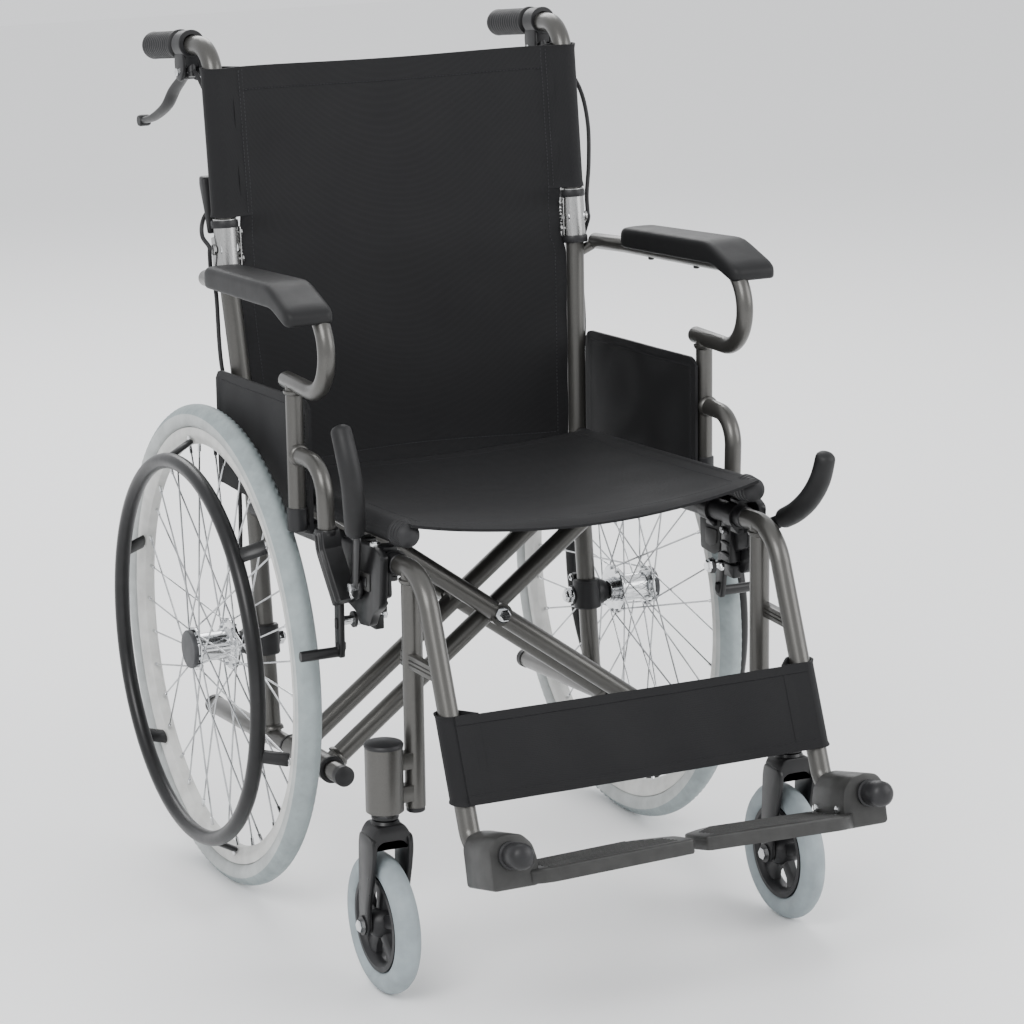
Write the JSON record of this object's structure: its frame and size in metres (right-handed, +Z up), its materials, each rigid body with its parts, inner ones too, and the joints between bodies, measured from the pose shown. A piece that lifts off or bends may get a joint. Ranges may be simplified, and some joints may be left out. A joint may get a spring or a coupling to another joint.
{
  "type": "folding manual wheelchair",
  "caption": "Folding self-propelled wheelchair with cross-brace frame, spoked rear wheels, swivel casters, fabric seat, flip-up footplates and fold-down push handles.",
  "frame": {"origin": "on the floor below the middle of the chair's overall box, wheels resting on z = 0", "axes": "+Z up, -Y towards the front (footplates), +X towards the seated user's left"},
  "size_m": [0.624, 1.0012, 0.9728],
  "materials": {
    "frame_paint": "bronze-grey metallic paint, satin",
    "pad_plastic": "moulded black polyurethane",
    "fabric": "black coated nylon",
    "black_plastic": "moulded black plastic and black-painted steel",
    "bracket_steel": "bright zinc-plated steel",
    "cable": "black cable sheath",
    "chrome": "bright plating",
    "grip_rubber": "moulded black rubber",
    "grey_tyre": "light grey solid tyre with fine tread",
    "white_rim": "off-white moulded rim",
    "handrim_paint": "black powder coat",
    "caster_tyre": "bluish grey solid tyre",
    "footplate_paint": "dark grey moulding"
  },
  "bodies": {
    "frame_right": {"side_frame_right": "frame_paint", "armrest_tube_right": "frame_paint", "armrest_pad_right": "pad_plastic", "skirt_panel_right": "fabric", "brake_bracket_right": "black_plastic", "fold_bracket_right": "bracket_steel", "brake_cable_lower_right": "cable", "axle_clamp_right": "black_plastic", "rear_axle_right": "chrome"},
    "cane_right": {"back_cane_right": "frame_paint", "push_grip_right": "grip_rubber", "brake_cable_upper_right": "cable"},
    "attendant_lever_right": {"attendant_lever_right": "black_plastic"},
    "release_lever_right": {"release_lever_right": "black_plastic"},
    "rear_wheel_right": {"rear_tyre_right": "grey_tyre", "rear_rim_right": "white_rim", "rear_hub_right": "chrome", "handrim_right": "handrim_paint"},
    "caster_fork_right": {"caster_fork_right": "black_plastic"},
    "caster_right": {"caster_wheel_right": "black_plastic", "caster_tyre_right": "caster_tyre"},
    "footplate_right": {"footplate_right": "footplate_paint"},
    "seat_right": {"seat_half_right": "fabric"},
    "back_upper_right": {"back_upper_half_right": "fabric"},
    "back_lower_right": {"back_lower_half_right": "fabric"},
    "calf_right": {"calf_half_right": "fabric"},
    "brake_lever_right": {"brake_lever_right": "grip_rubber"},
    "brake_shoe_right": {"brake_shoe_right": "black_plastic"},
    "frame_left": {"side_frame_left": "frame_paint", "armrest_tube_left": "frame_paint", "armrest_pad_left": "pad_plastic", "skirt_panel_left": "fabric", "brake_bracket_left": "black_plastic", "fold_bracket_left": "bracket_steel", "brake_cable_lower_left": "cable", "axle_clamp_left": "black_plastic", "rear_axle_left": "chrome"},
    "cane_left": {"back_cane_left": "frame_paint", "push_grip_left": "grip_rubber", "brake_cable_upper_left": "cable"},
    "attendant_lever_left": {"attendant_lever_left": "black_plastic"},
    "release_lever_left": {"release_lever_left": "black_plastic"},
    "rear_wheel_left": {"rear_tyre_left": "grey_tyre", "rear_rim_left": "white_rim", "rear_hub_left": "chrome", "handrim_left": "handrim_paint"},
    "caster_fork_left": {"caster_fork_left": "black_plastic"},
    "caster_left": {"caster_wheel_left": "black_plastic", "caster_tyre_left": "caster_tyre"},
    "footplate_left": {"footplate_left": "footplate_paint"},
    "seat_left": {"seat_half_left": "fabric"},
    "back_upper_left": {"back_upper_half_left": "fabric"},
    "back_lower_left": {"back_lower_half_left": "fabric"},
    "calf_left": {"calf_half_left": "fabric"},
    "brake_lever_left": {"brake_lever_left": "grip_rubber"},
    "brake_shoe_left": {"brake_shoe_left": "black_plastic"},
    "arm_a": {"cross_arm_a": "frame_paint", "cross_pivot": "chrome"},
    "arm_b": {"cross_arm_b": "frame_paint"}
  },
  "joints": [
    {"name": "fold", "type": "hinge", "parent": "frame_right", "child": "arm_a", "pos_m": [-0.209, 0.199, 0.166], "axis": [0, -0.9981, 0.0619], "range_deg": [0, 40]},
    {"name": "fold_cross", "type": "hinge", "parent": "arm_a", "child": "arm_b", "pos_m": [0, 0.20851, 0.31944], "axis": [0, -0.9981, 0.0619], "range_deg": [-80, 0]},
    {"name": "fold_left", "type": "hinge", "parent": "arm_b", "child": "frame_left", "pos_m": [0.209, 0.199, 0.166], "axis": [0, -0.9981, 0.0619], "range_deg": [0, 40]},
    {"name": "seat_fold_left", "type": "hinge", "parent": "arm_a", "child": "seat_left", "pos_m": [0.207, 0.21794, 0.47141], "axis": [0, -0.9981, 0.0619], "range_deg": [-113.2, 0]},
    {"name": "seat_fold_right", "type": "hinge", "parent": "arm_b", "child": "seat_right", "pos_m": [-0.207, 0.21794, 0.47141], "axis": [0, -0.9981, 0.0619], "range_deg": [0, 113.2]},
    {"name": "back_upper_fold_left", "type": "hinge", "parent": "cane_left", "child": "back_upper_left", "pos_m": [0.221, 0.244, 0.733], "axis": [0, 0.1162, 0.9932], "range_deg": [0, 90]},
    {"name": "back_lower_fold_left", "type": "hinge", "parent": "frame_left", "child": "back_lower_left", "pos_m": [0.216, 0.23078, 0.62], "axis": [0, 0.1162, 0.9932], "range_deg": [-72.4, 0]},
    {"name": "calf_fold_left", "type": "hinge", "parent": "frame_left", "child": "calf_left", "pos_m": [0.209, -0.33505, 0.288], "axis": [0, 0.3826, 0.9239], "range_deg": [-73.6, 0]},
    {"name": "footplate_flip_left", "type": "hinge", "parent": "frame_left", "child": "footplate_left", "pos_m": [0.209, -0.372, 0.1996], "axis": [0, -0.9703, 0.2419], "range_deg": [-98, 0]},
    {"name": "back_upper_fold_right", "type": "hinge", "parent": "cane_right", "child": "back_upper_right", "pos_m": [-0.221, 0.244, 0.733], "axis": [0, 0.1162, 0.9932], "range_deg": [-90, 0]},
    {"name": "back_lower_fold_right", "type": "hinge", "parent": "frame_right", "child": "back_lower_right", "pos_m": [-0.216, 0.23078, 0.62], "axis": [0, 0.1162, 0.9932], "range_deg": [0, 72.4]},
    {"name": "calf_fold_right", "type": "hinge", "parent": "frame_right", "child": "calf_right", "pos_m": [-0.209, -0.33505, 0.288], "axis": [0, 0.3826, 0.9239], "range_deg": [0, 73.6]},
    {"name": "footplate_flip_right", "type": "hinge", "parent": "frame_right", "child": "footplate_right", "pos_m": [-0.209, -0.372, 0.1996], "axis": [0, -0.9703, 0.2419], "range_deg": [0, 98]},
    {"name": "backrest", "type": "hinge", "parent": "frame_right", "child": "cane_right", "pos_m": [-0.221, 0.244, 0.733], "axis": [-1, 0, 0], "range_deg": [0, 90]},
    {"name": "backrest_left", "type": "hinge", "parent": "frame_left", "child": "cane_left", "pos_m": [0.221, 0.244, 0.733], "axis": [-1, 0, 0], "range_deg": [0, 90]},
    {"name": "attendant_brake_left", "type": "hinge", "parent": "cane_left", "child": "attendant_lever_left", "pos_m": [0.224, 0.341, 0.925], "axis": [1, 0, 0], "range_deg": [0, 20], "stiffness_Nm_per_rad": 0.6},
    {"name": "release_left", "type": "hinge", "parent": "cane_left", "child": "release_lever_left", "pos_m": [0.23, 0.26166, 0.76], "axis": [-1, 0, 0], "range_deg": [0, 12], "stiffness_Nm_per_rad": 0.3},
    {"name": "wheel_spin_left", "type": "hinge", "parent": "frame_left", "child": "rear_wheel_left", "pos_m": [0.262, 0.199, 0.28], "axis": [1, 0, 0], "continuous": true},
    {"name": "caster_swivel_left", "type": "hinge", "parent": "frame_left", "child": "caster_fork_left", "pos_m": [0.246, -0.233, 0.203], "axis": [0, 0, 1], "continuous": true},
    {"name": "caster_roll_left", "type": "hinge", "parent": "caster_fork_left", "child": "caster_left", "pos_m": [0.246, -0.223, 0.078], "axis": [1, 0, 0], "continuous": true},
    {"name": "parking_brake_left", "type": "hinge", "parent": "frame_left", "child": "brake_lever_left", "pos_m": [0.239, -0.151, 0.43], "axis": [1, 0, 0], "range_deg": [-45, 45]},
    {"name": "brake_shoe_left", "type": "hinge", "parent": "frame_left", "child": "brake_shoe_left", "pos_m": [0.239, -0.113, 0.418], "axis": [1, 0, 0], "range_deg": [-9.45, 9.45]},
    {"name": "attendant_brake_right", "type": "hinge", "parent": "cane_right", "child": "attendant_lever_right", "pos_m": [-0.224, 0.341, 0.925], "axis": [1, 0, 0], "range_deg": [0, 20], "stiffness_Nm_per_rad": 0.6},
    {"name": "release_right", "type": "hinge", "parent": "cane_right", "child": "release_lever_right", "pos_m": [-0.23, 0.26166, 0.76], "axis": [-1, 0, 0], "range_deg": [0, 12], "stiffness_Nm_per_rad": 0.3},
    {"name": "wheel_spin_right", "type": "hinge", "parent": "frame_right", "child": "rear_wheel_right", "pos_m": [-0.262, 0.199, 0.28], "axis": [1, 0, 0], "continuous": true},
    {"name": "caster_swivel_right", "type": "hinge", "parent": "frame_right", "child": "caster_fork_right", "pos_m": [-0.246, -0.233, 0.203], "axis": [0, 0, 1], "continuous": true},
    {"name": "caster_roll_right", "type": "hinge", "parent": "caster_fork_right", "child": "caster_right", "pos_m": [-0.246, -0.223, 0.078], "axis": [1, 0, 0], "continuous": true},
    {"name": "parking_brake_right", "type": "hinge", "parent": "frame_right", "child": "brake_lever_right", "pos_m": [-0.239, -0.151, 0.43], "axis": [1, 0, 0], "range_deg": [0, 90]},
    {"name": "brake_shoe_right", "type": "hinge", "parent": "frame_right", "child": "brake_shoe_right", "pos_m": [-0.239, -0.113, 0.418], "axis": [1, 0, 0], "range_deg": [0, 18.9]}
  ],
  "couplings": [
    {"joint": "fold_cross", "follows": "fold", "ratio": -2},
    {"joint": "fold_left", "follows": "fold", "ratio": 1},
    {"joint": "seat_fold_left", "follows": "fold", "ratio": -2.83},
    {"joint": "seat_fold_right", "follows": "fold", "ratio": 2.83},
    {"joint": "back_upper_fold_left", "follows": "fold", "ratio": 2.25},
    {"joint": "back_lower_fold_left", "follows": "fold", "ratio": -1.81},
    {"joint": "calf_fold_left", "follows": "fold", "ratio": -1.84},
    {"joint": "footplate_flip_left", "follows": "fold", "ratio": -2.45},
    {"joint": "back_upper_fold_right", "follows": "fold", "ratio": -2.25},
    {"joint": "back_lower_fold_right", "follows": "fold", "ratio": 1.81},
    {"joint": "calf_fold_right", "follows": "fold", "ratio": 1.84},
    {"joint": "footplate_flip_right", "follows": "fold", "ratio": 2.45},
    {"joint": "backrest_left", "follows": "backrest", "ratio": 1},
    {"joint": "brake_shoe_left", "follows": "parking_brake_left", "ratio": 0.21},
    {"joint": "brake_shoe_right", "follows": "parking_brake_right", "ratio": 0.21}
  ]
}
